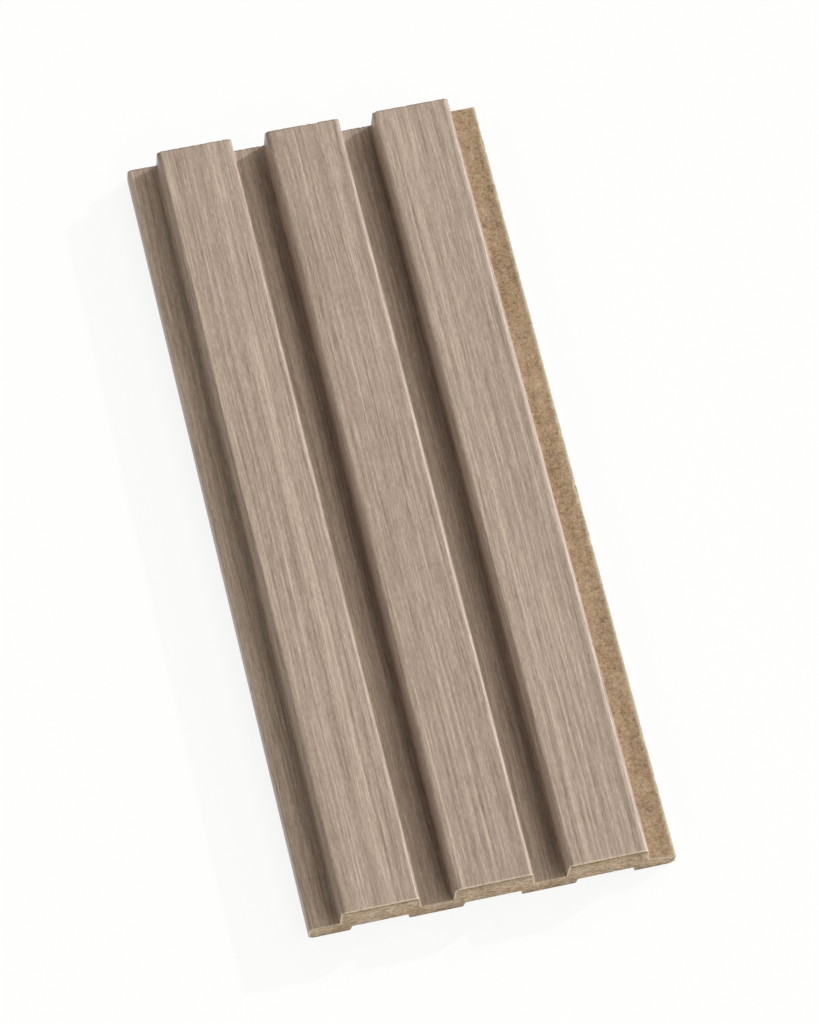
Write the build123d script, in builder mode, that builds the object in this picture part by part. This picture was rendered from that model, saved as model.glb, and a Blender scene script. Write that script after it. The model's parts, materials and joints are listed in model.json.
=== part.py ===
from build123d import *

import os

# Slatted wall panel: a milled MDF board with raised slats, its face wrapped in a wood-grain decor foil.
# The board lies on its back. X runs across the slats, Y along them and Z up through the thickness.
# The origin is at the middle of the underside.

# Driving dimensions, in millimetres

panel_length = 276.0
slat_count = 3
slat_pitch = 37.3
slat_foot_width = 26.8
last_slat_extra = 0.7  # how much further the last slat's foot reaches to the right
left_flank_lean = 0.1  # how far a left flank leans in between its foot and the slat's top
right_flank_lean = 1.25
lip_width = 10.0  # wrapped strip to the left of the first slat
tongue_width = 9.0  # bare strip to the right of the last slat

overall_height = 18.0
valley_height = 8.2  # foil surface between the slats
tongue_height = 7.4
shoulder_height = 0.4  # board left standing under the foil's lower edge, beside the milled tongue

foil_thickness = 0.4
slat_round = 1.7  # foil surface, along the top edges of a slat
valley_round = 0.5  # foil surface, along the foot of a flank
lip_round = 1.6  # foil surface, along the left edge

groove_roof_width = 18.4
groove_depth = 3.5
groove_wall_lean = 0.6  # how far each groove wall opens out towards its mouth
groove_roof_round = 0.4
land_round = 0.6  # lower corners of the glue lands beside a groove

lip_chamfer = 1.0  # lower left corner of the board
tongue_chamfer = 1.5  # lower right corner of the board
tongue_round = 0.9

# Places that follow from the sizes above

last_foot_width = slat_foot_width + last_slat_extra
overall_width = lip_width + slat_pitch * (slat_count - 1) + last_foot_width + tongue_width
left_edge = -overall_width / 2
right_edge = overall_width / 2
slat_feet = [left_edge + lip_width + slat_pitch * number for number in range(slat_count)]
tongue_root = slat_feet[-1] + last_foot_width
foil_end_height = tongue_height + shoulder_height


def face_points():
    """Corners of the foil's outer surface, from the lower left edge to the foot of the last flank."""
    points = [(left_edge, lip_chamfer), (left_edge, valley_height)]
    for foot in slat_feet:
        last = foot == slat_feet[-1]
        right_foot = tongue_root if last else foot + slat_foot_width
        points += [
            (foot, valley_height),
            (foot + left_flank_lean, overall_height),
            (right_foot - right_flank_lean, overall_height),
            (right_foot, foil_end_height if last else valley_height),
        ]
    return points


def face_radii(depth):
    """Radii at the inner corners of the face, on a surface that lies a given depth inside it."""
    ridge = slat_round - depth
    hollow = valley_round + depth
    return [lip_round - depth] + ([hollow, ridge, ridge, hollow] * slat_count)[:-1]


def inset(points, depth):
    """Moves an open outline into the board by a depth, with its two ends kept at their own heights."""
    lines = []
    for (x0, z0), (x1, z1) in zip(points, points[1:]):
        along = Vector(x1 - x0, z1 - z0).normalized()
        inward = Vector(along.Y, -along.X)
        lines.append((Vector(x0, z0) + inward * depth, along))

    def meet(first, second):
        (start, along), (other_start, other_along) = first, second
        gap = other_start - start
        turn = along.X * other_along.Y - along.Y * other_along.X
        reach = (gap.X * other_along.Y - gap.Y * other_along.X) / turn
        point = start + along * reach
        return (point.X, point.Y)

    level = Vector(1, 0)
    start_level = (Vector(*points[0]), level)
    end_level = (Vector(*points[-1]), level)
    every_line = [start_level, *lines, end_level]
    return [meet(first, second) for first, second in zip(every_line, every_line[1:])]


def underside_points_and_radii():
    """Corners of the tongue and the grooved back, from the foil's lower edge to the lower left edge."""
    corners = [
        (tongue_root, foil_end_height, 0),
        (tongue_root, tongue_height, 0),
        (right_edge, tongue_height, tongue_round),
        (right_edge, tongue_chamfer, 0),
        (right_edge - tongue_chamfer, 0, 0),
    ]
    for foot in reversed(slat_feet):
        middle = foot + slat_foot_width / 2
        roof = groove_roof_width / 2
        mouth = roof + groove_wall_lean
        corners += [
            (middle + mouth, 0, land_round),
            (middle + roof, groove_depth, groove_roof_round),
            (middle - roof, groove_depth, groove_roof_round),
            (middle - mouth, 0, land_round),
        ]
    corners.append((left_edge + foil_thickness + lip_chamfer, 0, 0))
    return [(x, z) for x, z, _ in corners], [radius for *_, radius in corners]


outer_face = face_points()
inner_face = inset(outer_face, foil_thickness)
underside, underside_radii = underside_points_and_radii()

# The board, milled from one piece of MDF: slats above, relief grooves below, a bare tongue on the right

with BuildPart() as mdf_core:
    with BuildSketch(Plane.XZ):
        with BuildLine():
            FilletPolyline(
                *inner_face,
                *underside,
                radius=[0, *face_radii(foil_thickness), 0, *underside_radii],
                close=True,
            )
        make_face()
    extrude(amount=panel_length / 2, both=True)

# The decor foil, glued over the face from the lower left edge to the foot of the last flank

with BuildPart() as decor_foil:
    with BuildSketch(Plane.XZ):
        with BuildLine():
            outer_skin = FilletPolyline(*outer_face, radius=face_radii(0))
            glue_side = FilletPolyline(*inner_face, radius=face_radii(foil_thickness))
            Line(outer_skin @ 0, glue_side @ 0)
            Line(outer_skin @ 1, glue_side @ 1)
        make_face()
    extrude(amount=panel_length / 2, both=True)

os.makedirs("parts", exist_ok=True)
mdf_core.part.label = "mdf_core"
decor_foil.part.label = "decor_foil"
export_step(mdf_core.part, "parts/mdf_core.step")
export_step(decor_foil.part, "parts/decor_foil.step")
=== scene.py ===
import json
import math
from typing import NamedTuple

import bpy
import numpy as np
from bpy.props import FloatProperty, FloatVectorProperty, IntProperty, PointerProperty
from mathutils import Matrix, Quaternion, Vector
from mathutils.geometry import delaunay_2d_cdt


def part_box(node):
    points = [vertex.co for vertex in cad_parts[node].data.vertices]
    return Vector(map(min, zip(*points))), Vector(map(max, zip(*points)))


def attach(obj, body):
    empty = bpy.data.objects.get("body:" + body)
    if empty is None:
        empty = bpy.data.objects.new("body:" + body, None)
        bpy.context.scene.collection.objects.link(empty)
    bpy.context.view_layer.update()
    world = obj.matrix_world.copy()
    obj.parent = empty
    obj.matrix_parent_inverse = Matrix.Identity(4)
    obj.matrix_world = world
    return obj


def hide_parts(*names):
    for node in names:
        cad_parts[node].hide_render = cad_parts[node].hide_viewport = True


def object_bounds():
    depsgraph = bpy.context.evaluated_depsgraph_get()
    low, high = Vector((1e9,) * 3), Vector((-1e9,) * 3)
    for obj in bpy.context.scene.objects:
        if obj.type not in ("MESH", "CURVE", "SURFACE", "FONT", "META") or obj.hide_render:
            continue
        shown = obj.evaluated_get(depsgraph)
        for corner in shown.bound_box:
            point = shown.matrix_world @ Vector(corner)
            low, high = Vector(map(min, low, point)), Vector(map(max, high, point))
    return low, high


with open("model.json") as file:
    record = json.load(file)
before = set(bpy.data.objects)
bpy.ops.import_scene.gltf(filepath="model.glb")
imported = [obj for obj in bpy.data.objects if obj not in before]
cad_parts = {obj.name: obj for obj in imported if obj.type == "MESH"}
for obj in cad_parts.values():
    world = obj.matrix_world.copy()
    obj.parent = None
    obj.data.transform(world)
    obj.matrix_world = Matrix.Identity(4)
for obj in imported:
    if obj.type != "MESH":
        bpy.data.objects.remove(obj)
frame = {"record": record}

bl_info = {
    "name": "Slatted wall panel",
    "version": (1, 0, 0),
    "blender": (4, 5, 0),
    "location": "3D View > Sidebar > Slat panel",
    "description": "A grooved MDF board, the wood-grain foil over its face, and a stage to see them on",
    "category": "Object",
}

MM = 0.001

# Places that the frame gives

cad_low, cad_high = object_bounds()
board_low, board_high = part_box("mdf_core")
foil_low, foil_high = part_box("decor_foil")
mount_places = {mount["name"]: Vector(mount["pos_m"]) for mount in frame["record"]["mounts"]}


# Sizes and colours that a user may change


class PanelSizes(bpy.types.PropertyGroup):
    """Sizes of the panel's section and length."""

    length: FloatProperty(
        name="Length",
        description="Along the slats",
        default=cad_high.y - cad_low.y,
        unit="LENGTH",
    )
    width: FloatProperty(
        name="Width",
        description="Across the slats, from the wrapped left edge to the bare right edge",
        default=cad_high.x - cad_low.x,
        unit="LENGTH",
    )
    height: FloatProperty(
        name="Height",
        description="From the back to the top of a slat",
        default=cad_high.z - cad_low.z,
        unit="LENGTH",
    )
    slat_count: IntProperty(
        name="Slats",
        description="Number of raised slats",
        default=3,
        min=1,
    )
    slat_pitch: FloatProperty(
        name="Slat pitch",
        description="From one slat's foot to the next",
        default=37.3 * MM,
        unit="LENGTH",
    )
    slat_foot_width: FloatProperty(
        name="Slat foot",
        description="Width of a slat at its foot",
        default=26.8 * MM,
        unit="LENGTH",
    )
    last_slat_extra: FloatProperty(
        name="Last slat extra",
        description="How much further the last slat's foot reaches to the right",
        default=0.7 * MM,
        unit="LENGTH",
    )
    left_flank_lean: FloatProperty(
        name="Left flank lean",
        description="How far a left flank leans in between its foot and the slat's top",
        default=0.1 * MM,
        unit="LENGTH",
    )
    right_flank_lean: FloatProperty(
        name="Right flank lean",
        description="How far a right flank leans in between its foot and the slat's top",
        default=1.25 * MM,
        unit="LENGTH",
    )
    valley_height: FloatProperty(
        name="Valley height",
        description="From the back to the foil between the slats",
        default=8.2 * MM,
        unit="LENGTH",
    )
    tongue_width: FloatProperty(
        name="Tongue width",
        description="Bare strip to the right of the last slat",
        default=board_high.x - foil_high.x,
        unit="LENGTH",
    )
    tongue_height: FloatProperty(
        name="Tongue height",
        description="From the back to the top of the bare strip",
        default=mount_places["tongue_top"].z,
        unit="LENGTH",
    )
    shoulder_height: FloatProperty(
        name="Shoulder",
        description="Board left standing under the foil's lower edge, beside the tongue",
        default=0.4 * MM,
        unit="LENGTH",
    )
    foil_thickness: FloatProperty(
        name="Foil thickness",
        description="Thickness of the wood-grain foil",
        default=board_low.x - foil_low.x,
        unit="LENGTH",
    )
    slat_round: FloatProperty(
        name="Slat round",
        description="Radius along the top edges of a slat",
        default=1.7 * MM,
        unit="LENGTH",
    )
    valley_round: FloatProperty(
        name="Valley round",
        description="Radius along the foot of a flank",
        default=0.5 * MM,
        unit="LENGTH",
    )
    lip_round: FloatProperty(
        name="Lip round",
        description="Radius along the left edge",
        default=1.6 * MM,
        unit="LENGTH",
    )
    lip_chamfer: FloatProperty(
        name="Lip chamfer",
        description="Cut along the lower left corner of the board, up to where the foil starts",
        default=foil_low.z - cad_low.z,
        unit="LENGTH",
    )
    groove_roof_width: FloatProperty(
        name="Groove width",
        description="Width of a back groove at its roof",
        default=18.4 * MM,
        unit="LENGTH",
    )
    groove_depth: FloatProperty(
        name="Groove depth",
        description="Depth of a back groove",
        default=3.5 * MM,
        unit="LENGTH",
    )
    groove_wall_lean: FloatProperty(
        name="Groove wall lean",
        description="How far a groove's wall opens out towards its mouth",
        default=0.6 * MM,
        unit="LENGTH",
    )
    groove_roof_round: FloatProperty(
        name="Groove roof round",
        description="Radius in the corners of a groove's roof",
        default=0.4 * MM,
        unit="LENGTH",
    )
    land_round: FloatProperty(
        name="Land round",
        description="Radius along the mouth of a groove",
        default=0.6 * MM,
        unit="LENGTH",
    )
    tongue_round: FloatProperty(
        name="Tongue round",
        description="Radius along the top of the right edge",
        default=0.9 * MM,
        unit="LENGTH",
    )
    tongue_chamfer: FloatProperty(
        name="Tongue chamfer",
        description="Cut along the bottom of the right edge",
        default=1.5 * MM,
        unit="LENGTH",
    )


class FoilFinish(bpy.types.PropertyGroup):
    """Look of the wood-grain foil."""

    base_colour: FloatVectorProperty(
        name="Base",
        description="Main colour of the grain",
        default=(0.398, 0.312, 0.268),
        subtype="COLOR",
    )
    light_colour: FloatVectorProperty(
        name="Light streaks",
        description="Colour of the palest streaks",
        default=(0.588, 0.480, 0.416),
        subtype="COLOR",
    )
    dark_colour: FloatVectorProperty(
        name="Dark streaks",
        description="Colour of the darkest streaks",
        default=(0.238, 0.173, 0.135),
        subtype="COLOR",
    )
    pore_colour: FloatVectorProperty(
        name="Pores",
        description="Colour at the bottom of a pressed pore",
        default=(0.165, 0.115, 0.085),
        subtype="COLOR",
    )
    # Paler colour over the rounded edges: partly wear, partly a painted highlight on the edges that face
    # the key lamp
    ridge_wear_and_highlight_colour: FloatVectorProperty(
        name="Ridges",
        description="Paler print where the foil is stretched over the rounded edges",
        default=(0.600, 0.500, 0.430),
        subtype="COLOR",
    )
    cut_colour: FloatVectorProperty(
        name="Cut edge",
        description="Pale paper that shows where the foil is cut",
        default=(0.660, 0.555, 0.455),
        subtype="COLOR",
    )
    relief: FloatProperty(
        name="Grain relief",
        description="Height between the crests and the hollows of the pressed grain",
        default=0.03 * MM,
        unit="LENGTH",
    )
    wander: FloatProperty(
        name="Grain wander",
        description="How far the streaks stray sideways along the panel",
        default=0.45 * MM,
        unit="LENGTH",
    )
    pore_depth: FloatProperty(
        name="Pore depth",
        description="Depth of the pressed pores",
        default=0.05 * MM,
        unit="LENGTH",
    )
    chip_depth: FloatProperty(
        name="Chip depth",
        description="How far the saw has frayed the foil's cut ends",
        default=0.25 * MM,
        unit="LENGTH",
    )


class BoardFinish(bpy.types.PropertyGroup):
    """Look of the bare MDF."""

    milled_colour: FloatVectorProperty(
        name="Milled",
        description="Colour of the milled tongue and grooves",
        default=(0.360, 0.254, 0.165),
        subtype="COLOR",
    )
    sawn_colour: FloatVectorProperty(
        name="Sawn",
        description="Colour of the sawn ends",
        default=(0.396, 0.296, 0.213),
        subtype="COLOR",
    )
    sanded_colour: FloatVectorProperty(
        name="Sanded",
        description="Colour of the sanded back",
        default=(0.385, 0.272, 0.172),
        subtype="COLOR",
    )
    # Mixed in along the tongue's edges: pale torn fibres, and along the rounded outer edge also a
    # painted highlight where it faces the key lamp
    pale_fibre_and_highlight_colour: FloatVectorProperty(
        name="Pale fibres",
        description="Colour of torn fibres along the tongue's edges",
        default=(0.500, 0.425, 0.340),
        subtype="COLOR",
    )
    fibre_colour: FloatVectorProperty(
        name="Dark fibres",
        description="Colour of bark specks and dark fibres",
        default=(0.120, 0.083, 0.048),
        subtype="COLOR",
    )
    milled_relief: FloatProperty(
        name="Milled relief",
        description="Depth of the torn pits on the milled tongue",
        default=0.12 * MM,
        unit="LENGTH",
    )
    nick_depth: FloatProperty(
        name="Nick depth",
        description="Depth of the chips in the tongue's outer edge",
        default=0.5 * MM,
        unit="LENGTH",
    )
    sawn_relief: FloatProperty(
        name="Sawn relief",
        description="Depth of the torn pits on the sawn ends",
        default=0.15 * MM,
        unit="LENGTH",
    )


class StageSettings(bpy.types.PropertyGroup):
    """Camera, lamps and floor."""

    camera_azimuth: FloatProperty(
        name="Camera azimuth",
        description="Angle round the panel, from looking along its length",
        default=math.radians(-20.338),
        subtype="ANGLE",
    )
    camera_elevation: FloatProperty(
        name="Camera elevation",
        description="Angle above the floor",
        default=math.radians(66.815),
        subtype="ANGLE",
    )
    camera_roll: FloatProperty(
        name="Camera roll",
        description="Turn about the line of sight",
        default=math.radians(7.613),
        subtype="ANGLE",
    )
    camera_distance: FloatProperty(
        name="Camera distance",
        description="From the lens to the aim point",
        default=1692.9 * MM,
        unit="LENGTH",
    )
    camera_aim: FloatVectorProperty(
        name="Camera aim",
        description="Point at the middle of the picture",
        default=(3.86 * MM, -4.18 * MM, 9.0 * MM),
        subtype="TRANSLATION",
    )
    camera_lens: FloatProperty(
        name="Lens",
        description="Focal length in millimetres on a 36 mm sensor",
        default=180.7,
    )
    key_azimuth: FloatProperty(
        name="Key azimuth",
        description="Direction of the key lamp on the floor, from the panel's right towards its far end",
        default=math.radians(21.5),
        subtype="ANGLE",
    )
    key_elevation: FloatProperty(
        name="Key elevation",
        description="Height of the key lamp above the floor",
        default=math.radians(25.0),
        subtype="ANGLE",
    )
    key_strength: FloatProperty(
        name="Key strength",
        description="Strength of the key lamp",
        default=2.10,
    )
    key_angle: FloatProperty(
        name="Key size",
        description="Apparent size of the key lamp, which softens its shadows",
        default=math.radians(0.8),
        subtype="ANGLE",
    )
    front_power: FloatProperty(
        name="Front fill",
        description="Power of the soft lamp in front of the near end",
        default=3.0,
        subtype="POWER",
    )
    sky_strength: FloatProperty(
        name="Sky",
        description="Level of the soft light from all round",
        default=0.96,
    )
    floor_colour: FloatVectorProperty(
        name="Floor",
        description="Colour of the floor",
        default=(0.90, 0.90, 0.90),
        subtype="COLOR",
    )


# Section of the panel, as points across and up


def unit(vector):
    """The vector at length one."""
    return vector / np.hypot(*vector)


def left_of(direction):
    """The direction turned a quarter turn to the left."""
    return np.array([-direction[1], direction[0]])


def rounded_path(corners, radii, step, arc_steps=10):
    """Points, outward normals and bends along straight runs that arcs join.

    Outward is to the left of the path. A bend is 1 on a ridge, -1 in a hollow and 0 on a straight run.
    """
    corners = np.asarray(corners, float)
    points, normals, bends = [], [], []

    def add_run(start, end, normal, close=False):
        count = max(1, math.ceil(np.hypot(*(end - start)) / step))
        for share in np.linspace(0, 1, count + 1)[: None if close else -1]:
            points.append(start + (end - start) * share)
            normals.append(normal)
            bends.append(0.0)

    start = corners[0]
    for before, corner, after, radius in zip(corners, corners[1:], corners[2:], radii):
        arriving = unit(corner - before)
        leaving = unit(after - corner)
        turn = math.atan2(arriving[0] * leaving[1] - arriving[1] * leaving[0], arriving @ leaving)
        side = math.copysign(1, turn)
        reach = radius * math.tan(abs(turn) / 2)
        arc_start = corner - arriving * reach
        outward = left_of(arriving)
        add_run(start, arc_start, outward)
        if radius > 0:
            centre = arc_start + outward * radius * side
            count = max(arc_steps, math.ceil(abs(turn) * radius / step))
            for angle in np.linspace(0, turn, count + 1)[:-1]:
                normal = outward * math.cos(angle) + left_of(outward) * math.sin(angle)
                points.append(centre - normal * radius * side)
                normals.append(normal)
                bends.append(-side)
        start = corner + leaving * reach
    add_run(start, corners[-1], left_of(unit(corners[-1] - start)), close=True)
    return np.array(points), np.array(normals), np.array(bends)


def slat_feet(sizes):
    """Left foot of each slat, from left to right."""
    tongue_root = sizes.width / 2 - sizes.tongue_width
    last_foot = tongue_root - sizes.last_slat_extra - sizes.slat_foot_width
    first_foot = last_foot - sizes.slat_pitch * (sizes.slat_count - 1)
    return [first_foot + sizes.slat_pitch * number for number in range(sizes.slat_count)]


def face_path(sizes, step):
    """The foil's outer surface, from the lower left edge to the foot of the last flank."""
    left_edge = -sizes.width / 2
    foil_end = sizes.tongue_height + sizes.shoulder_height
    corners = [(left_edge, sizes.lip_chamfer), (left_edge, sizes.valley_height)]
    radii = [sizes.lip_round]
    feet = slat_feet(sizes)
    for foot in feet:
        last = foot == feet[-1]
        right_foot = foot + sizes.slat_foot_width + (sizes.last_slat_extra if last else 0)
        corners += [
            (foot, sizes.valley_height),
            (foot + sizes.left_flank_lean, sizes.height),
            (right_foot - sizes.right_flank_lean, sizes.height),
            (right_foot, foil_end if last else sizes.valley_height),
        ]
        radii += [sizes.valley_round, sizes.slat_round, sizes.slat_round, sizes.valley_round]
    return rounded_path(corners, radii[:-1], step)


def glue_path(sizes, points, normals):
    """The foil's glued side: its outer surface moved in by its thickness, with both ends kept level."""
    inner = points - normals * sizes.foil_thickness
    for end in (0, -1):
        inner[end] = points[end, 0] - sizes.foil_thickness / normals[end, 0], points[end, 1]
    return inner


def tongue_path(sizes, step):
    """The bare strip, from the shoulder under the foil over the right edge to the back."""
    right_edge = sizes.width / 2
    corners = [
        (right_edge - sizes.tongue_width, sizes.tongue_height),
        (right_edge, sizes.tongue_height),
        (right_edge, sizes.tongue_chamfer),
        (right_edge - sizes.tongue_chamfer, 0),
    ]
    return rounded_path(corners, [sizes.tongue_round, 0], step)


def back_path(sizes, step):
    """The grooved back, from the right edge to the left."""
    corners = [(sizes.width / 2 - sizes.tongue_chamfer, 0)]
    radii = []
    roof = sizes.groove_roof_width / 2
    mouth = roof + sizes.groove_wall_lean
    for foot in reversed(slat_feet(sizes)):
        middle = foot + sizes.slat_foot_width / 2
        corners += [
            (middle + mouth, 0),
            (middle + roof, sizes.groove_depth),
            (middle - roof, sizes.groove_depth),
            (middle - mouth, 0),
        ]
        radii += [sizes.land_round, sizes.groove_roof_round, sizes.groove_roof_round, sizes.land_round]
    corners.append((-sizes.width / 2 + sizes.foil_thickness + sizes.lip_chamfer, 0))
    return rounded_path(corners, radii, step)


def length_along(points):
    """Distance of each point from the first, along the path."""
    steps = np.hypot(*np.diff(points, axis=0).T)
    return np.concatenate([[0], np.cumsum(steps)])


# Random relief


def ease(share):
    """A smooth step from 0 to 1."""
    return share * share * (3 - 2 * share)


def patches(rng, across, along, width, length):
    """A smooth random field from -1 to 1, whose patches have a given width and length."""
    across, along = np.broadcast_arrays(across - across.min(), along - along.min())
    lane = np.floor(across / width).astype(int)
    share = ease(across / width - lane)
    starts = rng.uniform(0, 1, lane.max() + 2)
    values = rng.uniform(-1, 1, (lane.max() + 2, int(along.max() / length) + 3))

    def value_in(number):
        place = along / length + starts[number]
        row = np.floor(place).astype(int)
        step = ease(place - row)
        return values[number, row] * (1 - step) + values[number, row + 1] * step

    return value_in(lane) * (1 - share) + value_in(lane + 1) * share


def above(field, level):
    """How far a field from -1 to 1 rises above a level, from 0 to 1."""
    return np.clip((field - level) / (1 - level), 0, 1)


# Meshes

SHARP_ANGLE = math.radians(38)


def new_piece(name, points, faces, materials, face_materials, point_values):
    """A smooth-shaded object with named point values, in the scene's collection."""
    mesh = bpy.data.meshes.new(name)
    mesh.from_pydata(points, [], faces)
    for material in materials:
        mesh.materials.append(material)
    mesh.polygons.foreach_set("material_index", np.asarray(face_materials, np.int32))
    for label, values in point_values.items():
        flat = np.asarray(values, np.float32)
        kind, field = ("FLOAT_VECTOR", "vector") if flat.ndim == 2 else ("FLOAT", "value")
        mesh.attributes.new(label, kind, "POINT").data.foreach_set(field, flat.ravel())
    mesh.polygons.foreach_set("use_smooth", np.ones(len(mesh.polygons), bool))
    mesh.set_sharp_from_angle(angle=SHARP_ANGLE)
    mesh.validate()
    mesh.update()
    piece = bpy.data.objects.new(name, mesh)
    bpy.context.scene.collection.objects.link(piece)
    return piece


def grid_faces(index):
    """Quads over a grid of point numbers, wound along its columns and then its rows."""
    corners = [index[:-1, :-1], index[:-1, 1:], index[1:, 1:], index[1:, :-1]]
    return np.stack(corners, -1).reshape(-1, 4).tolist()


def rows_along(length, step, end_steps):
    """Places along the panel, even in the middle and closer together at both ends."""
    near_end = np.cumsum(end_steps)
    middle = np.arange(near_end[-1] + step, length / 2, step)
    half = np.concatenate([[0], near_end, middle]) - length / 2
    return np.concatenate([half, -half[::-1]])


FOIL_SEED = 11
FOIL_COLUMN = 0.34 * MM
FOIL_ROW = 2.3 * MM
FOIL_END_ROWS = [0.45 * MM, 0.7 * MM, 1.2 * MM]
# The paler foil over the rounded top edges is partly wear and partly painted highlight: the right edges
# face the key lamp and get the full share, the left edges only this share
LEFT_EDGE_WEAR_AND_HIGHLIGHT = 0.2  # beside a right edge's 1

# Width and length of the patches that the pressed grain is made of

GRAIN_BENDS = (8 * MM, 40 * MM)
GRAIN_BROAD = (3.2 * MM, 500 * MM)
GRAIN_STREAKS = (0.8 * MM, 260 * MM)
GRAIN_BANDS = (0.7 * MM, 70 * MM)
PORES = (0.75 * MM, 9 * MM)
PORE_ZONES = (4 * MM, 60 * MM)
FRAY_WIDTH = 0.5 * MM


def pressed_grain(finish, across, along, rng):
    """The grain's own place across, with its bends, then its tone from dark to light, and its pores."""
    grain_across = across + finish.wander * patches(rng, across, along, *GRAIN_BENDS)
    broad = patches(rng, grain_across, along, *GRAIN_BROAD)
    streaks = patches(rng, grain_across, along, *GRAIN_STREAKS)
    bands = patches(rng, grain_across, along, *GRAIN_BANDS)
    tone = 0.34 * broad + 0.5 * streaks + 0.45 * bands
    pores = above(patches(rng, grain_across, along, *PORES), 0.5)
    pores *= 0.5 + 0.5 * patches(rng, across, along, *PORE_ZONES)
    return grain_across, tone, pores


def foil_mesh(sizes, finish, materials):
    """The foil as a thin closed sheet: pressed grain outside, plain glued side, frayed ends."""
    rng = np.random.default_rng(FOIL_SEED)
    points, normals, bends = face_path(sizes, FOIL_COLUMN)
    glued = glue_path(sizes, points, normals)
    across = length_along(points)[None, :]
    along = rows_along(sizes.length, FOIL_ROW, FOIL_END_ROWS)[:, None]
    rows, columns = along.size, across.size

    grain_across, grain, pores = pressed_grain(finish, across, along, rng)
    depth = finish.relief * np.clip(0.5 - 0.5 * grain, 0, 1) + finish.pore_depth * pores
    depth[:, [0, -1]] = 0
    # Paler print over the rounded edges: partly wear, partly painted highlight, strongest on the right
    # edges that face the key lamp
    edge_wear_and_highlight = np.clip(bends, 0, 1) * np.where(normals[:, 0] < 0, LEFT_EDGE_WEAR_AND_HIGHLIGHT, 1.0)

    fray = above(patches(rng, across, np.zeros_like(across), FRAY_WIDTH, 1.0), -0.5)
    frayed = finish.chip_depth * fray[0] ** 2
    outer = np.empty((rows, columns, 3))
    outer[:, :, 0] = points[:, 0] - normals[:, 0] * depth
    outer[:, :, 1] = along
    outer[:, :, 2] = points[:, 1] - normals[:, 1] * depth
    outer[0, :, 1] += frayed
    outer[-1, :, 1] -= frayed[::-1]
    inner = np.empty((2, columns, 3))
    inner[:, :, 0] = glued[:, 0]
    inner[:, :, 1] = outer[[0, -1], :, 1]
    inner[:, :, 2] = glued[:, 1]

    skin = np.arange(rows * columns).reshape(rows, columns)
    near = rows * columns + np.arange(columns)
    far = near + columns
    face_quads = grid_faces(skin)
    cut_quads = grid_faces(np.stack([near, skin[0]])) + grid_faces(np.stack([skin[-1], far]))
    glue_quads = grid_faces(np.stack([far, near]))
    left_strip = [*skin[:, 0].tolist(), int(far[0]), int(near[0])]
    right_strip = [int(near[-1]), int(far[-1]), *skin[::-1, -1].tolist()]
    faces = face_quads + cut_quads + glue_quads + [left_strip, right_strip]
    face_materials = [0] * len(face_quads) + [1] * (len(faces) - len(face_quads))

    def on_sheet(outer_values, inner_values=0.0):
        outer_all = np.broadcast_to(outer_values, (rows, columns)).ravel()
        inner_all = np.broadcast_to(inner_values, (2, columns)).ravel()
        return np.concatenate([outer_all, inner_all])

    place = np.zeros(((rows + 2) * columns, 3))
    place[:, 0] = on_sheet(grain_across, across)
    place[:, 1] = on_sheet(outer[:, :, 1], inner[:, :, 1])
    values = {
        "grain_place": place,
        "grain_tone": on_sheet(grain),
        "pores": on_sheet(pores),
        "ridge": on_sheet(edge_wear_and_highlight),
    }
    all_points = np.concatenate([outer.reshape(-1, 3), inner.reshape(-1, 3)])
    return new_piece("grain_foil", all_points, faces, materials, face_materials, values)


BOARD_SEED = 23
NICK_SEED = 31
BOARD_STEP = 0.6 * MM
TONGUE_STEP = 0.36 * MM
TONGUE_ROW = 0.55 * MM
TONGUE_END_ROWS = [0.25 * MM, 0.4 * MM]
TONGUE_EDGE_FADE = 1.2 * MM  # where the pits die out, along both sides of the bare strip
SAWN_POINT_GAP = 0.62 * MM
SAWN_EDGE_SHARE = 0.35  # depth of the pits along a sawn end's outline, beside 1 inside it
TORN_REACH = 0.8 * MM  # width of the pale fibres along the tongue's near edge
# Along the rounded outer edge the pale band is partly torn fibres and partly painted highlight on the
# edge that faces the key lamp
ARRIS_PLATEAU = 0.54 * MM  # half width of the pale fibres along its outer edge, and then their fade
ARRIS_FADE = 0.9 * MM
SANDED, MILLED, SAWN = range(3)

# Width and length of the patches that torn MDF and a chipped edge are made of

FINE_PITS = (0.8 * MM, 0.9 * MM)
COARSE_PITS = (2.4 * MM, 2.8 * MM)
DEEP_PITS = (1.1 * MM, 1.2 * MM)
CHIPS = (1.4 * MM, 1.8 * MM)
CHIP_GROUPS = (30 * MM, 16 * MM)


def points_inside(loop, gap, rng):
    """Scattered points inside a closed loop, about one gap apart and clear of its edge."""
    low, high = loop.min(0), loop.max(0)
    counts = np.ceil((high - low) / gap).astype(int)
    grid = np.stack(np.indices(counts), -1).reshape(-1, 2)
    spots = low + (grid + rng.uniform(0.2, 0.8, grid.shape)) * gap
    ends = np.roll(loop, -1, axis=0)
    across, up = spots[:, :1], spots[:, 1:]
    spans = (loop[:, 1] > up) != (ends[:, 1] > up)
    rise = np.where(ends[:, 1] == loop[:, 1], 1, ends[:, 1] - loop[:, 1])
    crossing = loop[:, 0] + (up - loop[:, 1]) / rise * (ends[:, 0] - loop[:, 0])
    inside = (spans & (across < crossing)).sum(1) % 2 == 1
    clear = np.hypot(across - loop[:, 0], up - loop[:, 1]).min(1) > 0.55 * gap
    return spots[inside & clear]


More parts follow.
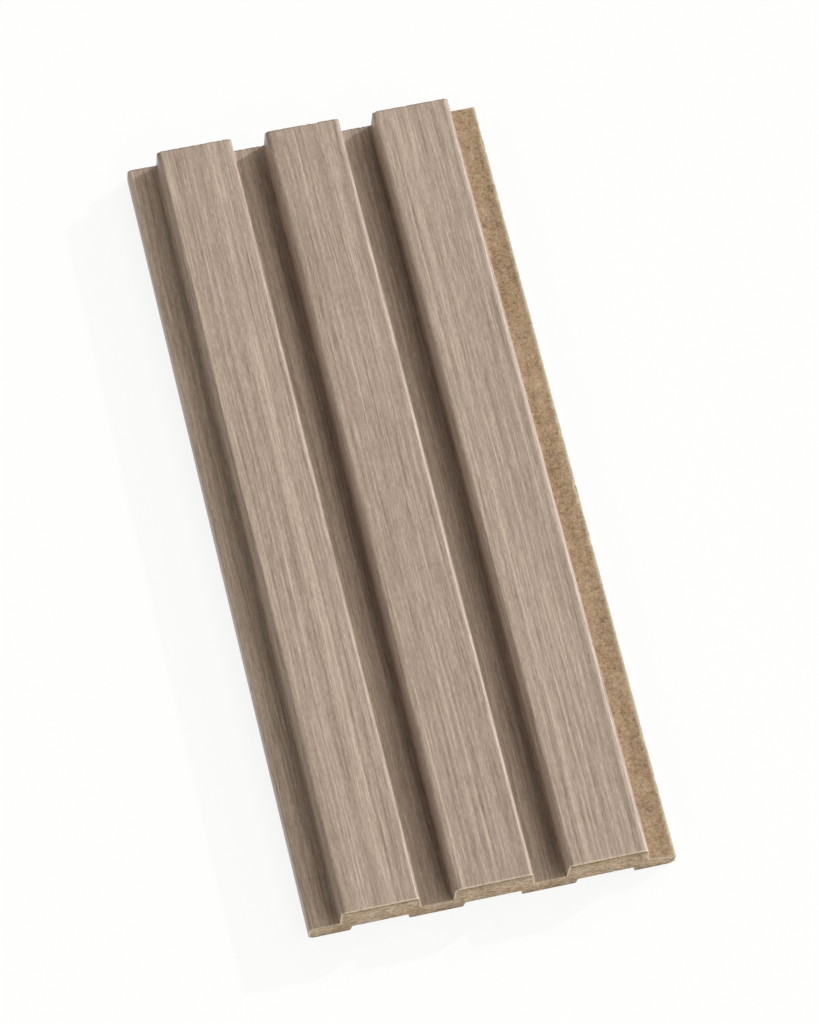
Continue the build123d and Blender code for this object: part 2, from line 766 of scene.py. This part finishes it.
def filled_section(section, outline_count):
    """Triangles over a section whose first points are its outline, all wound against the clock."""
    flat = [Vector(point) for point in section]
    outline = list(range(outline_count))
    _, _, found, sources, _, _ = delaunay_2d_cdt(flat, [], [outline], 1, 1e-7)
    if len(sources) != len(flat):
        raise RuntimeError("The board's section could not be filled from its own points")
    triangles = np.array([[sources[corner][0] for corner in triangle] for triangle in found])
    corners = section[triangles]
    one, two = corners[:, 1] - corners[:, 0], corners[:, 2] - corners[:, 0]
    turned = one[:, 0] * two[:, 1] < one[:, 1] * two[:, 0]
    triangles[turned] = triangles[turned, ::-1]
    return triangles


def torn_pits(rng, across, along):
    """Depth of the pits that a cutter tears in MDF, from 0 to 1."""
    fine = patches(rng, across, along, *FINE_PITS)
    coarse = patches(rng, across, along, *COARSE_PITS)
    deep = above(patches(rng, across, along, *DEEP_PITS), 0.55)
    return np.clip(0.25 + 0.18 * fine + 0.15 * coarse + 0.6 * deep, 0, 1)


def edge_nicks(across, along):
    """Depth of chips in an edge, from 0 to 1: a few groups of short ones."""
    rng = np.random.default_rng(NICK_SEED)
    chips = above(patches(rng, across, along, *CHIPS), 0.3)
    groups = above(patches(rng, across, along, *CHIP_GROUPS), 0.1)
    return chips * np.clip(2 * groups, 0, 1)


class TongueStrip(NamedTuple):
    """The bare strip by rows along the panel and columns across it."""

    points: np.ndarray
    pits: np.ndarray
    pale_wear_and_highlight: np.ndarray


def tongue_strip(sizes, finish, path, normals, rng):
    """The bare strip, torn by the cutter and chipped along its outer edge."""
    along = rows_along(sizes.length, TONGUE_ROW, TONGUE_END_ROWS)[:, None]
    across = length_along(path)[None, :]
    edge_gap = np.minimum(across, across.max() - across)
    pits = torn_pits(rng, across, along) * np.clip(edge_gap / TONGUE_EDGE_FADE, 0, 1)
    # arris: pale band along the outer edge, partly torn fibres and partly painted highlight
    arris_place = sizes.tongue_width - sizes.tongue_round * (1 - math.pi / 4)
    arris = np.clip(1 - (np.abs(across - arris_place) - ARRIS_PLATEAU) / ARRIS_FADE, 0, 1)
    nicks = arris * edge_nicks(across, along)
    depth = finish.milled_relief * pits + finish.nick_depth * nicks
    points = np.empty((*depth.shape, 3))
    points[:, :, 0] = path[:, 0] - normals[:, 0] * depth
    points[:, :, 1] = along
    points[:, :, 2] = path[:, 1] - normals[:, 1] * depth
    near_fade = np.clip(1 - (along + sizes.length / 2) / TORN_REACH, 0, 1)
    return TongueStrip(points, np.maximum(pits, nicks), np.maximum(arris, near_fade))


def sawn_end(sizes, finish, section, crumble, side, rng):
    """Points over the near end (side -1) or the far one (side 1), and the depth of their pits."""
    pits = torn_pits(rng, section[:, 0], section[:, 1]) * crumble
    points = np.empty((len(section), 3))
    points[:, [0, 2]] = section
    points[:, 1] = side * (sizes.length / 2 - finish.sawn_relief * pits)
    return points, pits


def long_walls(loop, far, strip_index):
    """Faces along the panel, all round the loop but for the bare strip, and the kind of each."""
    first, last = strip_index[0, 0], strip_index[0, -1]
    ring = [*range(len(loop)), 0]
    walls, kinds = [], []
    for start, end in zip(ring, ring[1:]):
        if first <= start < last:
            continue
        wall = [start, end, far[end], far[start]]
        if end == first:
            wall = [start, *strip_index[:, 0], far[start]]
        if start == last:
            wall = [start, end, far[end], *strip_index[:0:-1, -1]]
        in_groove = start > last and max(loop[start, 1], loop[end, 1]) > 0
        walls.append([int(corner) for corner in wall])
        kinds.append(MILLED if in_groove else SANDED)
    return walls, kinds


def board_mesh(sizes, finish, materials):
    """The board as a closed mesh: plain under the foil, torn where it is bare, grooved behind."""
    rng = np.random.default_rng(BOARD_SEED)
    face, face_normals, _ = face_path(sizes, BOARD_STEP)
    hidden = glue_path(sizes, face, face_normals)
    shoulder = face[-1:]
    tongue, tongue_normals, _ = tongue_path(sizes, TONGUE_STEP)
    back, _, _ = back_path(sizes, BOARD_STEP)
    loop = np.concatenate([hidden, shoulder, tongue, back[1:]])
    first = len(hidden) + 1
    bare = slice(first, first + len(tongue))

    strip = tongue_strip(sizes, finish, tongue, tongue_normals, rng)
    spots = points_inside(loop, SAWN_POINT_GAP, rng)
    section = np.concatenate([loop, spots])
    crumble = np.concatenate([np.full(len(loop), SAWN_EDGE_SHARE), np.ones(len(spots))])
    near_points, near_pits = sawn_end(sizes, finish, section, crumble, -1, rng)
    far_points, far_pits = sawn_end(sizes, finish, section, crumble, 1, rng)
    near_points[bare, [0, 2]] = strip.points[0][:, [0, 2]]
    far_points[bare, [0, 2]] = strip.points[-1][:, [0, 2]]

    near = np.arange(len(section))
    far = near + len(section)
    inner_strip = strip.points[1:-1].reshape(-1, 3)
    inner_index = 2 * len(section) + np.arange(len(inner_strip)).reshape(-1, len(tongue))
    strip_index = np.concatenate([[near[bare]], inner_index, [far[bare]]])
    triangles = filled_section(section, len(loop))
    end_faces = triangles.tolist() + far[triangles[:, ::-1]].tolist()
    strip_quads = grid_faces(strip_index)
    walls, wall_kinds = long_walls(loop, far, strip_index)
    faces = end_faces + strip_quads + walls
    face_materials = [SAWN] * len(end_faces) + [MILLED] * len(strip_quads) + wall_kinds

    end_worn = np.zeros(2 * len(section))
    end_worn[bare] = strip.pale_wear_and_highlight[0]
    values = {
        "pits": np.concatenate([near_pits, far_pits, strip.pits[1:-1].ravel()]),
        "ridge": np.concatenate([end_worn, strip.pale_wear_and_highlight[1:-1].ravel()]),
    }
    all_points = np.concatenate([near_points, far_points, inner_strip])
    return new_piece("mdf_board", all_points, faces, materials, face_materials, values)


# Materials


def add_node(tree, kind, inputs=None, **settings):
    """A node with its settings made and its inputs set, each by a value or by a link."""
    node = tree.nodes.new(kind)
    for name, value in settings.items():
        setattr(node, name, value)
    for name, value in (inputs or {}).items():
        if isinstance(value, bpy.types.NodeSocket):
            tree.links.new(value, node.inputs[name])
        else:
            node.inputs[name].default_value = value
    return node


def calculated(tree, operation, *values):
    """The result of a Math node."""
    return add_node(tree, "ShaderNodeMath", dict(enumerate(values)), operation=operation).outputs[0]


def new_material(name):
    """An empty node material with a Principled shader; returns the material, its tree and the shader."""
    material = bpy.data.materials.new(name)
    material.use_nodes = True
    tree = material.node_tree
    tree.nodes.clear()
    shader = tree.nodes.new("ShaderNodeBsdfPrincipled")
    output = tree.nodes.new("ShaderNodeOutputMaterial")
    tree.links.new(shader.outputs["BSDF"], output.inputs["Surface"])
    return material, tree, shader


def noise(tree, place, size, detail=2.0, roughness=0.55, distortion=0.0):
    """Noise from 0 to 1 whose patches have a given size along each axis."""
    scale = [1 / length for length in size]
    scaled = add_node(tree, "ShaderNodeVectorMath", {0: place, 1: scale}, operation="MULTIPLY")
    inputs = {
        "Vector": scaled.outputs[0],
        "Scale": 1.0,
        "Detail": detail,
        "Roughness": roughness,
        "Distortion": distortion,
    }
    return add_node(tree, "ShaderNodeTexNoise", inputs).outputs["Fac"]


def weighted(tree, start, *parts):
    """A start value plus each field's distance from its middle, times its weight."""
    total = start
    for field, middle, weight in parts:
        centred = calculated(tree, "SUBTRACT", field, middle)
        total = calculated(tree, "MULTIPLY_ADD", centred, weight, total)
    return total


def ramp(tree, field, stops):
    """Colours along a field; each stop is a place and a colour."""
    node = add_node(tree, "ShaderNodeValToRGB", {"Fac": field})
    elements = node.color_ramp.elements
    while len(elements) < len(stops):
        elements.new(0.5)
    for element, (place, colour) in zip(elements, stops):
        element.position = place
        element.color = (*colour, 1)
    return node.outputs["Color"]


def mapped(tree, field, low, high, to_low=0.0, to_high=1.0):
    """A field's range from low to high, moved to another range and held there."""
    inputs = {"Value": field, "From Min": low, "From Max": high, "To Min": to_low, "To Max": to_high}
    return add_node(tree, "ShaderNodeMapRange", inputs).outputs["Result"]


# Sockets of a Mix node that mixes colours: its share, its two colours and its result
MIX_SHARE, MIX_FIRST, MIX_SECOND, MIX_RESULT = 0, 6, 7, 2


def mixed(tree, share, first, second, blend="MIX"):
    """Two colours mixed by a share."""
    inputs = {MIX_SHARE: share}
    for socket, colour in ((MIX_FIRST, first), (MIX_SECOND, second)):
        linked = isinstance(colour, bpy.types.NodeSocket)
        inputs[socket] = colour if linked else (*colour, 1)
    node = add_node(tree, "ShaderNodeMix", inputs, data_type="RGBA", blend_type=blend)
    return node.outputs[MIX_RESULT]


def times(tree, first, second):
    """The product of two fields."""
    return calculated(tree, "MULTIPLY", first, second)


def point_value(tree, name, output="Fac"):
    """A value that the mesh carries at its points."""
    return add_node(tree, "ShaderNodeAttribute", attribute_name=name).outputs[output]


def add_bump(tree, shader, height, distance, strength):
    """Fine relief on the shader."""
    inputs = {"Height": height, "Distance": distance, "Strength": strength}
    bump = add_node(tree, "ShaderNodeBump", inputs)
    tree.links.new(bump.outputs["Normal"], shader.inputs["Normal"])


def near_edge(tree, along, edge, fray, reach):
    """1 at a cut edge, down to 0 at a ragged reach from it."""
    gap = calculated(tree, "ABSOLUTE", calculated(tree, "SUBTRACT", along, edge))
    ragged = weighted(tree, gap, (fray, 0.5, reach))
    return mapped(tree, ragged, 0.4 * reach, reach, 1.0, 0.0)


FOIL_SHINE = 0.15
NEAR_CUT_REACH = 0.52 * MM
FAR_CUT_REACH = 0.5 * MM

# Sizes of the marks printed on the foil, across and along, on a sheet without depth

STREAK_SIZE = (0.66 * MM, 34 * MM, 1)
FIBRE_SIZE = (0.56 * MM, 13 * MM, 1)
FLECK_SIZE = (0.50 * MM, 5 * MM, 1)
MOTTLE_SIZE = (0.46 * MM, 1.8 * MM, 1)
PRINT_DRIFT = (14 * MM, 70 * MM, 1)
HAIRLINE_SIZE = (0.42 * MM, 60 * MM, 1)
FRAY_SIZE = (0.9 * MM, 3 * MM, 1)


def foil_face_material(finish, length):
    """Printed wood grain under a satin lacquer, with pores pressed in, frayed at both cuts."""
    material, tree, shader = new_material("wood_grain_foil")
    place = point_value(tree, "grain_place", "Vector")
    tone = point_value(tree, "grain_tone")
    pores = point_value(tree, "pores")
    ridge = point_value(tree, "ridge")
    along = add_node(tree, "ShaderNodeSeparateXYZ", {0: place}).outputs["Y"]

    streaks = noise(tree, place, STREAK_SIZE, detail=1)
    fibres = noise(tree, place, FIBRE_SIZE, detail=1)
    flecks = noise(tree, place, FLECK_SIZE, detail=1)
    mottle = noise(tree, place, MOTTLE_SIZE, detail=1)
    drift = noise(tree, place, PRINT_DRIFT, detail=2)
    hairlines = noise(tree, place, HAIRLINE_SIZE, detail=0)
    fray = noise(tree, place, FRAY_SIZE, detail=2)

    shade = weighted(
        tree,
        0.5,
        (tone, 0.0, 0.31),
        (streaks, 0.5, 0.75),
        (fibres, 0.5, 0.70),
        (flecks, 0.5, 0.60),
        (mottle, 0.5, 0.56),
        (drift, 0.5, 0.10),
    )
    stops = (
        (0.0, finish.dark_colour),
        (0.5, finish.base_colour),
        (1.0, finish.light_colour),
    )
    colour = ramp(tree, shade, stops)
    hairline = mapped(tree, hairlines, 0.60, 0.78, 0.0, 0.60)
    broken_line = times(tree, hairline, mapped(tree, fibres, 0.3, 0.7))
    colour = mixed(tree, broken_line, colour, finish.dark_colour)
    dark_fleck = mapped(tree, flecks, 0.68, 0.85, 0.0, 0.40)
    colour = mixed(tree, dark_fleck, colour, finish.pore_colour)
    colour = mixed(tree, mapped(tree, pores, 0.1, 1.0, 0.0, 0.5), colour, finish.pore_colour)
    # Mixes in the paler ridge colour: partly wear, partly a painted highlight on the rounded edges that
    # face the key lamp
    pale_wear_and_highlight = times(tree, ridge, mapped(tree, fibres, 0.3, 0.7, 0.0, 0.15))
    colour = mixed(tree, pale_wear_and_highlight, colour, finish.ridge_wear_and_highlight_colour)
    near_cut = near_edge(tree, along, -length / 2, fray, NEAR_CUT_REACH)
    near_cut = times(tree, near_cut, mapped(tree, fray, 0.35, 0.6, 0.15, 1.0))
    colour = mixed(tree, near_cut, colour, finish.cut_colour)
    far_cut = near_edge(tree, along, length / 2, fray, FAR_CUT_REACH)
    colour = mixed(tree, times(tree, far_cut, 0.6), colour, finish.pore_colour)
    tree.links.new(colour, shader.inputs["Base Color"])
    tree.links.new(mapped(tree, shade, 0.2, 0.8, 0.44, 0.34), shader.inputs["Roughness"])
    shader.inputs["Specular IOR Level"].default_value = FOIL_SHINE
    height = weighted(tree, 0.5, (fibres, 0.5, 0.7), (flecks, 0.5, -0.5))
    add_bump(tree, shader, height, 0.04 * MM, 0.7)
    return material


CUT_FRAY_SIZE = (0.7 * MM, 0.7 * MM, 0.4 * MM)


def foil_cut_material(finish):
    """The foil's pale, frayed cut edge."""
    material, tree, shader = new_material("foil_cut_edge")
    place = add_node(tree, "ShaderNodeTexCoord").outputs["Object"]
    fray = noise(tree, place, CUT_FRAY_SIZE, detail=3)
    colour = mixed(tree, mapped(tree, fray, 0.35, 0.7, 0.0, 0.75), finish.cut_colour, finish.base_colour)
    tree.links.new(colour, shader.inputs["Base Color"])
    shader.inputs["Roughness"].default_value = 0.85
    add_bump(tree, shader, fray, 0.1 * MM, 0.5)
    return material


# Brightness of the board by its share of the height: the same all the way up, or darker at its denser
# pressed top face and towards the bottom, where the darkening is partly denser board and partly painted
# shade near the floor

EVEN = ((0.0, (1.0, 1.0, 1.0)), (1.0, (1.0, 1.0, 1.0)))
LAYERS_AND_SHADE = (
    (0.0, (0.62, 0.62, 0.62)),
    (0.08, (0.81, 0.82, 0.82)),
    (0.42, (1.0, 1.0, 1.0)),
    (0.66, (1.0, 1.0, 1.0)),
    (0.86, (0.84, 0.86, 0.83)),
    (0.94, (0.58, 0.60, 0.56)),
)

# Colours beside the board's own: of stained patches, and of its palest and darkest felt

STAINS = ((0.36, (0.94, 0.99, 1.07)), (0.5, (1.0, 1.0, 1.0)), (0.64, (1.05, 0.97, 0.90)))
LIGHTER = (1.50, 1.60, 1.70)
DARKER = (0.48, 0.43, 0.36)

# Sizes of the patches in bare MDF, across, along and up

STAIN_SIZE = (9 * MM, 9 * MM, 4 * MM)
BLOTCH_SIZE = (2.6 * MM, 2.6 * MM, 1.3 * MM)
FELT_SIZE = (0.8 * MM, 0.8 * MM, 0.5 * MM)
SPECK_SIZE = (0.6 * MM, 0.6 * MM, 0.6 * MM)
EVEN_DRIFT = (8 * MM, 8 * MM, 8 * MM)
MILLED_DRIFT = (4 * MM, 36 * MM, 4 * MM)


class BoardLook(NamedTuple):
    """How one kind of bare MDF surface differs from the others."""

    drift_size: tuple
    height_shade: tuple
    contrast: float
    stain_share: float
    roughness: float


SANDED_LOOK = BoardLook(EVEN_DRIFT, EVEN, contrast=1.0, stain_share=0.3, roughness=0.7)
MILLED_LOOK = BoardLook(MILLED_DRIFT, EVEN, contrast=0.95, stain_share=0.15, roughness=0.85)
SAWN_LOOK = BoardLook(EVEN_DRIFT, LAYERS_AND_SHADE, contrast=1.5, stain_share=0.7, roughness=0.9)


def board_material(finish, name, colour, look):
    """Bare MDF: felted fibres in blotches of lighter and darker tan, with bark specks."""
    material, tree, shader = new_material(name)
    place = add_node(tree, "ShaderNodeTexCoord").outputs["Object"]
    height = add_node(tree, "ShaderNodeSeparateXYZ", {0: place}).outputs["Z"]
    pits = point_value(tree, "pits")
    ridge = point_value(tree, "ridge")
    lighter = [part * share for part, share in zip(colour, LIGHTER)]
    darker = [part * share for part, share in zip(colour, DARKER)]

    blotch = noise(tree, place, BLOTCH_SIZE, detail=2, distortion=0.6)
    felt = noise(tree, place, FELT_SIZE, detail=2, roughness=0.6, distortion=0.8)
    specks = noise(tree, place, SPECK_SIZE, detail=1, distortion=0.5)
    drift = noise(tree, place, look.drift_size, detail=2)

    shade = weighted(
        tree,
        0.5,
        (blotch, 0.5, 0.8 * look.contrast),
        (felt, 0.5, 1.6 * look.contrast),
        (drift, 0.5, 0.8),
        # Pits and chips are darkened: painted shade in the recesses
        (pits, 0.25, -0.30),
    )
    shown = ramp(tree, shade, ((0.0, darker), (0.5, colour), (1.0, lighter)))
    stain = ramp(tree, noise(tree, place, STAIN_SIZE, detail=1), STAINS)
    shown = mixed(tree, look.stain_share, shown, stain, "MULTIPLY")
    shown = mixed(tree, mapped(tree, specks, 0.66, 0.78, 0.0, 0.6), shown, finish.fibre_colour)
    # Darker at the top and towards the bottom on the sawn ends: denser pressed faces, and painted shade
    # near the floor
    layers_and_shade = ramp(tree, mapped(tree, height, cad_low.z, cad_high.z), look.height_shade)
    shown = mixed(tree, 1.0, shown, layers_and_shade, "MULTIPLY")
    # Pale mix at the tongue's edges: torn fibres, and at the rounded outer edge also painted highlight
    torn = times(tree, ridge, mapped(tree, felt, 0.35, 0.65, 0.4, 0.9))
    shown = mixed(tree, torn, shown, finish.pale_fibre_and_highlight_colour)
    tree.links.new(shown, shader.inputs["Base Color"])
    shader.inputs["Roughness"].default_value = look.roughness
    shader.inputs["Specular IOR Level"].default_value = 0.25
    add_bump(tree, shader, felt, 0.12 * MM, 0.5)
    return material


# The stage


def aim_lamp(lamp, direction):
    """Turns a lamp so that it shines along a direction."""
    lamp.rotation_mode = "QUATERNION"
    lamp.rotation_quaternion = Vector(direction).to_track_quat("-Z", "Y")


def new_lamp(name, kind):
    """A lamp in the scene's collection."""
    lamp = bpy.data.objects.new(name, bpy.data.lights.new(name, kind))
    bpy.context.scene.collection.objects.link(lamp)
    return lamp


def seen_ray(tree):
    """1 for a ray from the camera, or one that a mirror or glass passes on to it."""
    path = add_node(tree, "ShaderNodeLightPath")
    total = path.outputs["Is Camera Ray"]
    for name in ("Is Glossy Ray", "Is Transmission Ray"):
        total = calculated(tree, "MAXIMUM", total, path.outputs[name])
    return total


FLOOR_HALF_SIZE = 4.0
FLOOR_GAP = 0.02 * MM  # between the floor and the board's back
FLOOR_SHADOW_SHARE = 0.11


def add_floor(stage):
    """A pale floor that shows white and keeps a light shadow."""
    material, tree, shader = new_material("pale_floor")
    shader.inputs["Base Color"].default_value = (*stage.floor_colour, 1)
    shader.inputs["Roughness"].default_value = 0.9
    shader.inputs["Specular IOR Level"].default_value = 0.0
    white = add_node(tree, "ShaderNodeEmission", {"Color": (1, 1, 1, 1), "Strength": 1.0})
    shown = add_node(tree, "ShaderNodeMixShader", {0: FLOOR_SHADOW_SHARE})
    tree.links.new(white.outputs[0], shown.inputs[1])
    tree.links.new(shader.outputs[0], shown.inputs[2])
    surface = add_node(tree, "ShaderNodeMixShader", {0: seen_ray(tree)})
    tree.links.new(shader.outputs[0], surface.inputs[1])
    tree.links.new(shown.outputs[0], surface.inputs[2])
    output = next(node for node in tree.nodes if node.type == "OUTPUT_MATERIAL")
    tree.links.new(surface.outputs[0], output.inputs["Surface"])

    half, level = FLOOR_HALF_SIZE, cad_low.z - FLOOR_GAP
    points = [(-half, -half, level), (half, -half, level), (half, half, level), (-half, half, level)]
    floor = new_piece("floor", points, [[0, 1, 2, 3]], [material], [0], {})


# Level of the soft light by its angle from overhead, in degrees, from the left horizon to the right one

SKY_TINT = (1.025, 1.0, 0.86)
SKY_STOPS = (
    (-90, 0.00),
    (-72, 0.05),
    (-66, 1.95),
    (-56, 1.95),
    (-40, 0.10),
    (-34, 0.00),
    (8, 0.00),
    (24, 1.95),
    (35, 1.95),
    (55, 1.25),
    (90, 0.90),
)


def add_sky(stage):
    """Soft light that changes from one side of the panel to the other, before a white background."""
    world = bpy.data.worlds.new("studio")
    bpy.context.scene.world = world
    world.use_nodes = True
    tree = world.node_tree
    tree.nodes.clear()
    direction = add_node(tree, "ShaderNodeTexCoord").outputs["Generated"]
    axes = add_node(tree, "ShaderNodeSeparateXYZ", {0: direction})
    tilt = calculated(tree, "ARCTAN2", axes.outputs["X"], axes.outputs["Z"])
    share = mapped(tree, tilt, -math.pi / 2, math.pi / 2)
    stops = []
    for angle, level in SKY_STOPS:
        stops.append(((angle + 90) / 180, [level * part for part in SKY_TINT]))
    colour = ramp(tree, share, stops)
    soft = add_node(tree, "ShaderNodeBackground", {"Color": colour, "Strength": stage.sky_strength})
    white = add_node(tree, "ShaderNodeBackground", {"Color": (1, 1, 1, 1), "Strength": 1.0})
    mix = add_node(tree, "ShaderNodeMixShader", {0: seen_ray(tree)})
    tree.links.new(soft.outputs[0], mix.inputs[1])
    tree.links.new(white.outputs[0], mix.inputs[2])
    output = add_node(tree, "ShaderNodeOutputWorld")
    tree.links.new(mix.outputs[0], output.inputs["Surface"])


KEY_TINT = (0.985, 1.005, 1.075)
FRONT_LAMP_PLACE = (-0.1, -1.4, 0.13)
FRONT_LAMP_SIZE = 0.25


def add_lamps(stage):
    """A crisp key lamp from the right and a soft one in front of the near end."""
    key = new_lamp("key_lamp", "SUN")
    key.data.energy = stage.key_strength
    key.data.color = KEY_TINT
    key.data.angle = stage.key_angle
    flat = math.cos(stage.key_elevation)
    to_key = (
        math.cos(stage.key_azimuth) * flat,
        math.sin(stage.key_azimuth) * flat,
        math.sin(stage.key_elevation),
    )
    aim_lamp(key, -Vector(to_key))
    front = new_lamp("front_lamp", "AREA")
    front.data.energy = stage.front_power
    front.data.shape = "DISK"
    front.data.size = FRONT_LAMP_SIZE
    front.location = FRONT_LAMP_PLACE
    aim_lamp(front, -front.location)


CAMERA_CLIP_END = 20.0


def add_camera(stage):
    """The camera, looking down along the panel from its near left."""
    camera = bpy.data.objects.new("camera", bpy.data.cameras.new("camera"))
    bpy.context.scene.collection.objects.link(camera)
    flat = math.cos(stage.camera_elevation)
    back = Vector((
        math.sin(stage.camera_azimuth) * flat,
        -math.cos(stage.camera_azimuth) * flat,
        math.sin(stage.camera_elevation),
    ))
    camera.location = Vector(stage.camera_aim) + back * stage.camera_distance
    camera.rotation_mode = "QUATERNION"
    level = (-back).to_track_quat("-Z", "Y")
    camera.rotation_quaternion = level @ Quaternion((0, 0, 1), stage.camera_roll)
    camera.data.lens = stage.camera_lens
    camera.data.clip_end = CAMERA_CLIP_END
    bpy.context.scene.camera = camera


# Operators, their panel and registration


class PANEL_OT_board(bpy.types.Operator):
    """Make the grooved MDF board"""

    bl_idname = "slat_panel.board"
    bl_label = "Make board"
    bl_options = {"REGISTER", "UNDO"}

    def execute(self, context):
        finish = context.scene.slat_board
        kinds = [
            board_material(finish, "sanded_mdf", finish.sanded_colour, SANDED_LOOK),
            board_material(finish, "milled_mdf", finish.milled_colour, MILLED_LOOK),
            board_material(finish, "sawn_mdf", finish.sawn_colour, SAWN_LOOK),
        ]
        board = board_mesh(context.scene.slat_sizes, finish, kinds)
        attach(board, "root")
        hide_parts("mdf_core")
        return {"FINISHED"}


class PANEL_OT_foil(bpy.types.Operator):
    """Make the wood-grain foil over the board's face"""

    bl_idname = "slat_panel.foil"
    bl_label = "Make foil"
    bl_options = {"REGISTER", "UNDO"}

    def execute(self, context):
        finish = context.scene.slat_foil
        sizes = context.scene.slat_sizes
        kinds = [foil_face_material(finish, sizes.length), foil_cut_material(finish)]
        foil = foil_mesh(sizes, finish, kinds)
        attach(foil, "root")
        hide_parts("decor_foil")
        return {"FINISHED"}


class PANEL_OT_stage(bpy.types.Operator):
    """Make the floor, the lamps and the camera"""

    bl_idname = "slat_panel.stage"
    bl_label = "Make stage"
    bl_options = {"REGISTER", "UNDO"}

    def execute(self, context):
        stage = context.scene.slat_stage
        add_floor(stage)
        add_sky(stage)
        add_lamps(stage)
        add_camera(stage)
        context.scene.view_settings.view_transform = "Standard"
        return {"FINISHED"}


class PANEL_PT_sidebar(bpy.types.Panel):
    """Buttons and settings for the slatted panel"""

    bl_idname = "PANEL_PT_sidebar"
    bl_label = "Slatted wall panel"
    bl_space_type = "VIEW_3D"
    bl_region_type = "UI"
    bl_category = "Slat panel"

    def draw(self, context):
        for button in (PANEL_OT_board, PANEL_OT_foil, PANEL_OT_stage):
            self.layout.operator(button.bl_idname)
        for group_name in SETTINGS:
            group = getattr(context.scene, group_name)
            box = self.layout.box()
            for field in group.bl_rna.properties:
                if field.identifier not in ("rna_type", "name"):
                    box.prop(group, field.identifier)


SETTINGS = {
    "slat_sizes": PanelSizes,
    "slat_foil": FoilFinish,
    "slat_board": BoardFinish,
    "slat_stage": StageSettings,
}
CLASSES = (*SETTINGS.values(), PANEL_OT_board, PANEL_OT_foil, PANEL_OT_stage, PANEL_PT_sidebar)


def register():
    """Adds the settings, the operators and the panel to Blender."""
    for kind in CLASSES:
        bpy.utils.register_class(kind)
    for name, group in SETTINGS.items():
        setattr(bpy.types.Scene, name, PointerProperty(type=group))


def unregister():
    """Takes them out again."""
    for name in SETTINGS:
        delattr(bpy.types.Scene, name)
    for kind in reversed(CLASSES):
        bpy.utils.unregister_class(kind)


def main():
    """Builds the panel and its stage."""
    register()
    bpy.ops.slat_panel.board()
    bpy.ops.slat_panel.foil()
    bpy.ops.slat_panel.stage()


if __name__ == "__main__":
    main()
